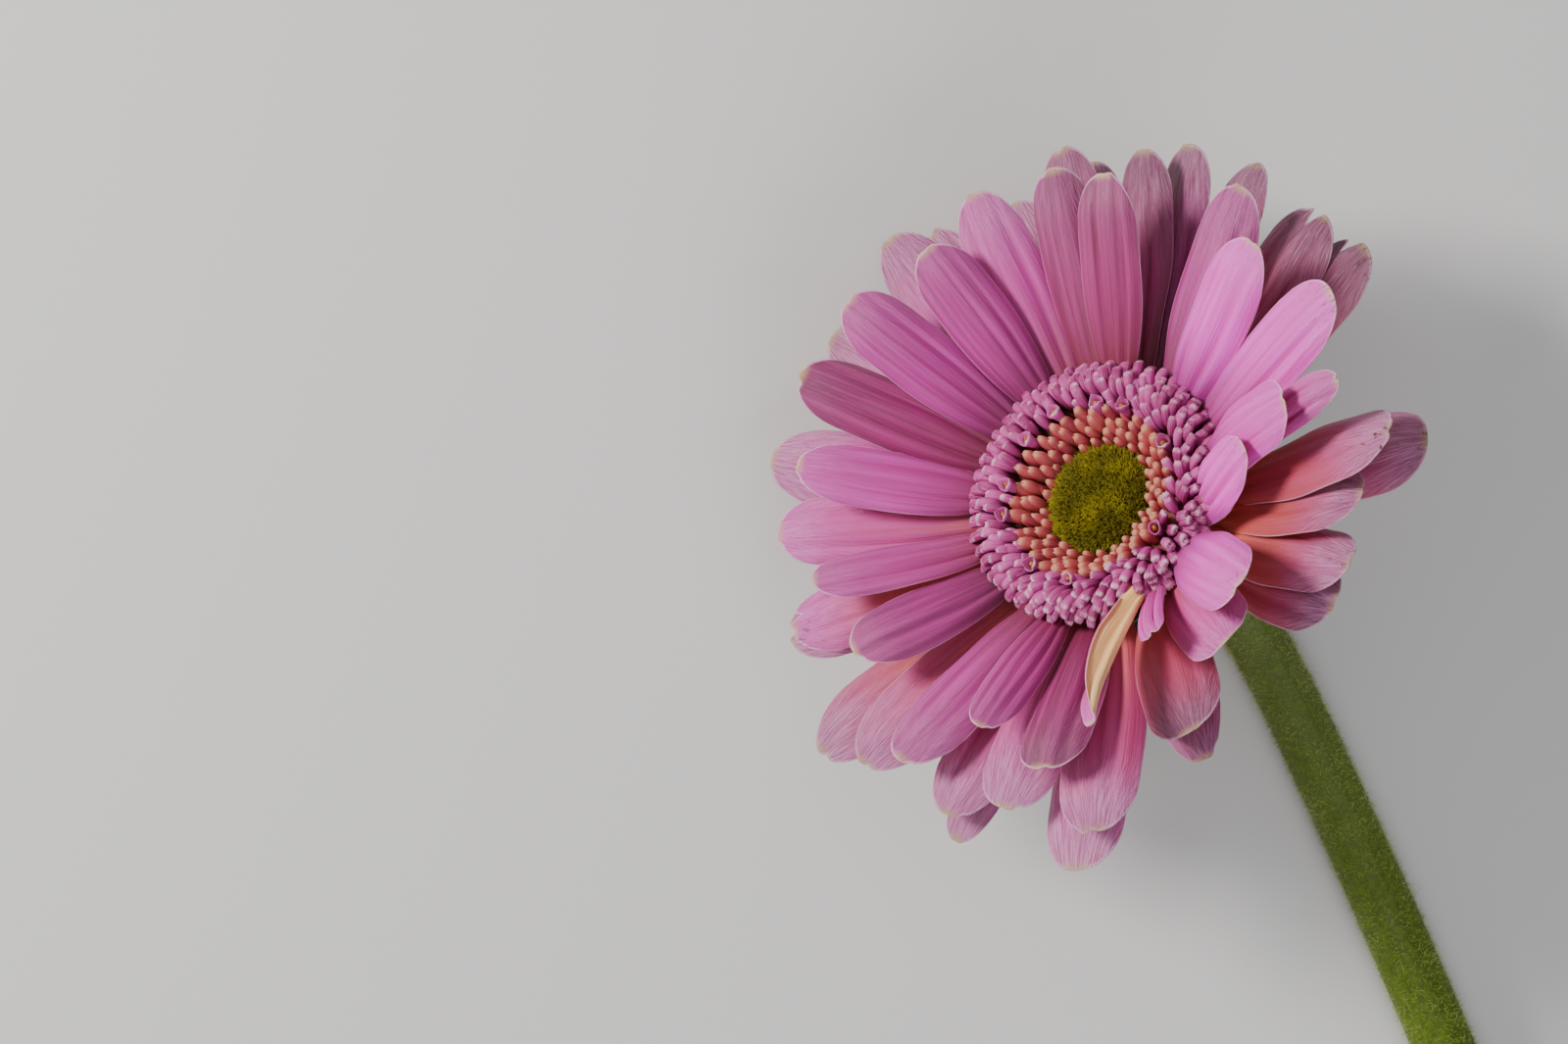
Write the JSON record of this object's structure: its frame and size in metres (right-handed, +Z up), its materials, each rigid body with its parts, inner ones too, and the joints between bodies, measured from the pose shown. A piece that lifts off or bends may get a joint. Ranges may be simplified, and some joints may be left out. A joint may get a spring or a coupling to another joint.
{
  "type": "cut gerbera",
  "caption": "Cut gerbera lying on a surface: a double daisy head of pink petals round a ring of small florets, on a soft hairy stem with a slanted cut end.",
  "frame": {"origin": "centre of the bounding box in plan, at the height of the surface the flower lies on", "axes": "+Z up, off the surface; +Y along the stem, from the flower head to the cut end; +X across it. The face looks up and leans towards -Y and +X."},
  "size_m": [0.0906, 0.2948, 0.0633],
  "materials": {
    "ray_petals": "satin magenta-pink, paler at the rim and the tip, coral towards the base",
    "open_disc_florets": "satin pink-lilac with paler tips",
    "disc_buds": "satin coral",
    "disc_centre": "matt olive yellow",
    "stem": "matt green under short pale hairs",
    "bracts": "matt green with paler hairy edges",
    "receptacle": "matt green"
  },
  "bodies": {
    "root": {"back_petal_01": "ray_petals", "back_petal_02": "ray_petals", "back_petal_03": "ray_petals", "back_petal_04": "ray_petals", "back_petal_05": "ray_petals", "back_petal_06": "ray_petals", "back_petal_07": "ray_petals", "back_petal_08": "ray_petals", "back_petal_09": "ray_petals", "back_petal_10": "ray_petals", "back_petal_11": "ray_petals", "back_petal_12": "ray_petals", "back_petal_13": "ray_petals", "back_petal_14": "ray_petals", "disc_centre": "disc_centre", "front_petal_01": "ray_petals", "front_petal_02": "ray_petals", "front_petal_03": "ray_petals", "front_petal_04": "ray_petals", "front_petal_05": "ray_petals", "front_petal_06": "ray_petals", "front_petal_07": "ray_petals", "front_petal_08": "ray_petals", "front_petal_09": "ray_petals", "front_petal_10": "ray_petals", "front_petal_11": "ray_petals", "front_petal_12": "ray_petals", "front_petal_13": "ray_petals", "front_petal_14": "ray_petals", "front_petal_15": "ray_petals", "inner_bracts": "bracts", "inner_disc_florets": "disc_buds", "outer_bracts": "bracts", "outer_disc_florets": "open_disc_florets", "receptacle": "receptacle", "second_petal_01": "ray_petals", "second_petal_02": "ray_petals", "second_petal_03": "ray_petals", "second_petal_04": "ray_petals", "second_petal_05": "ray_petals", "second_petal_06": "ray_petals", "second_petal_07": "ray_petals", "second_petal_08": "ray_petals", "second_petal_09": "ray_petals", "stem": "stem", "third_petal_01": "ray_petals", "third_petal_02": "ray_petals", "third_petal_03": "ray_petals", "third_petal_04": "ray_petals", "third_petal_05": "ray_petals", "third_petal_06": "ray_petals", "third_petal_07": "ray_petals", "third_petal_08": "ray_petals", "third_petal_09": "ray_petals", "third_petal_10": "ray_petals", "third_petal_11": "ray_petals", "third_petal_12": "ray_petals", "third_petal_13": "ray_petals"}
  },
  "joints": []
}
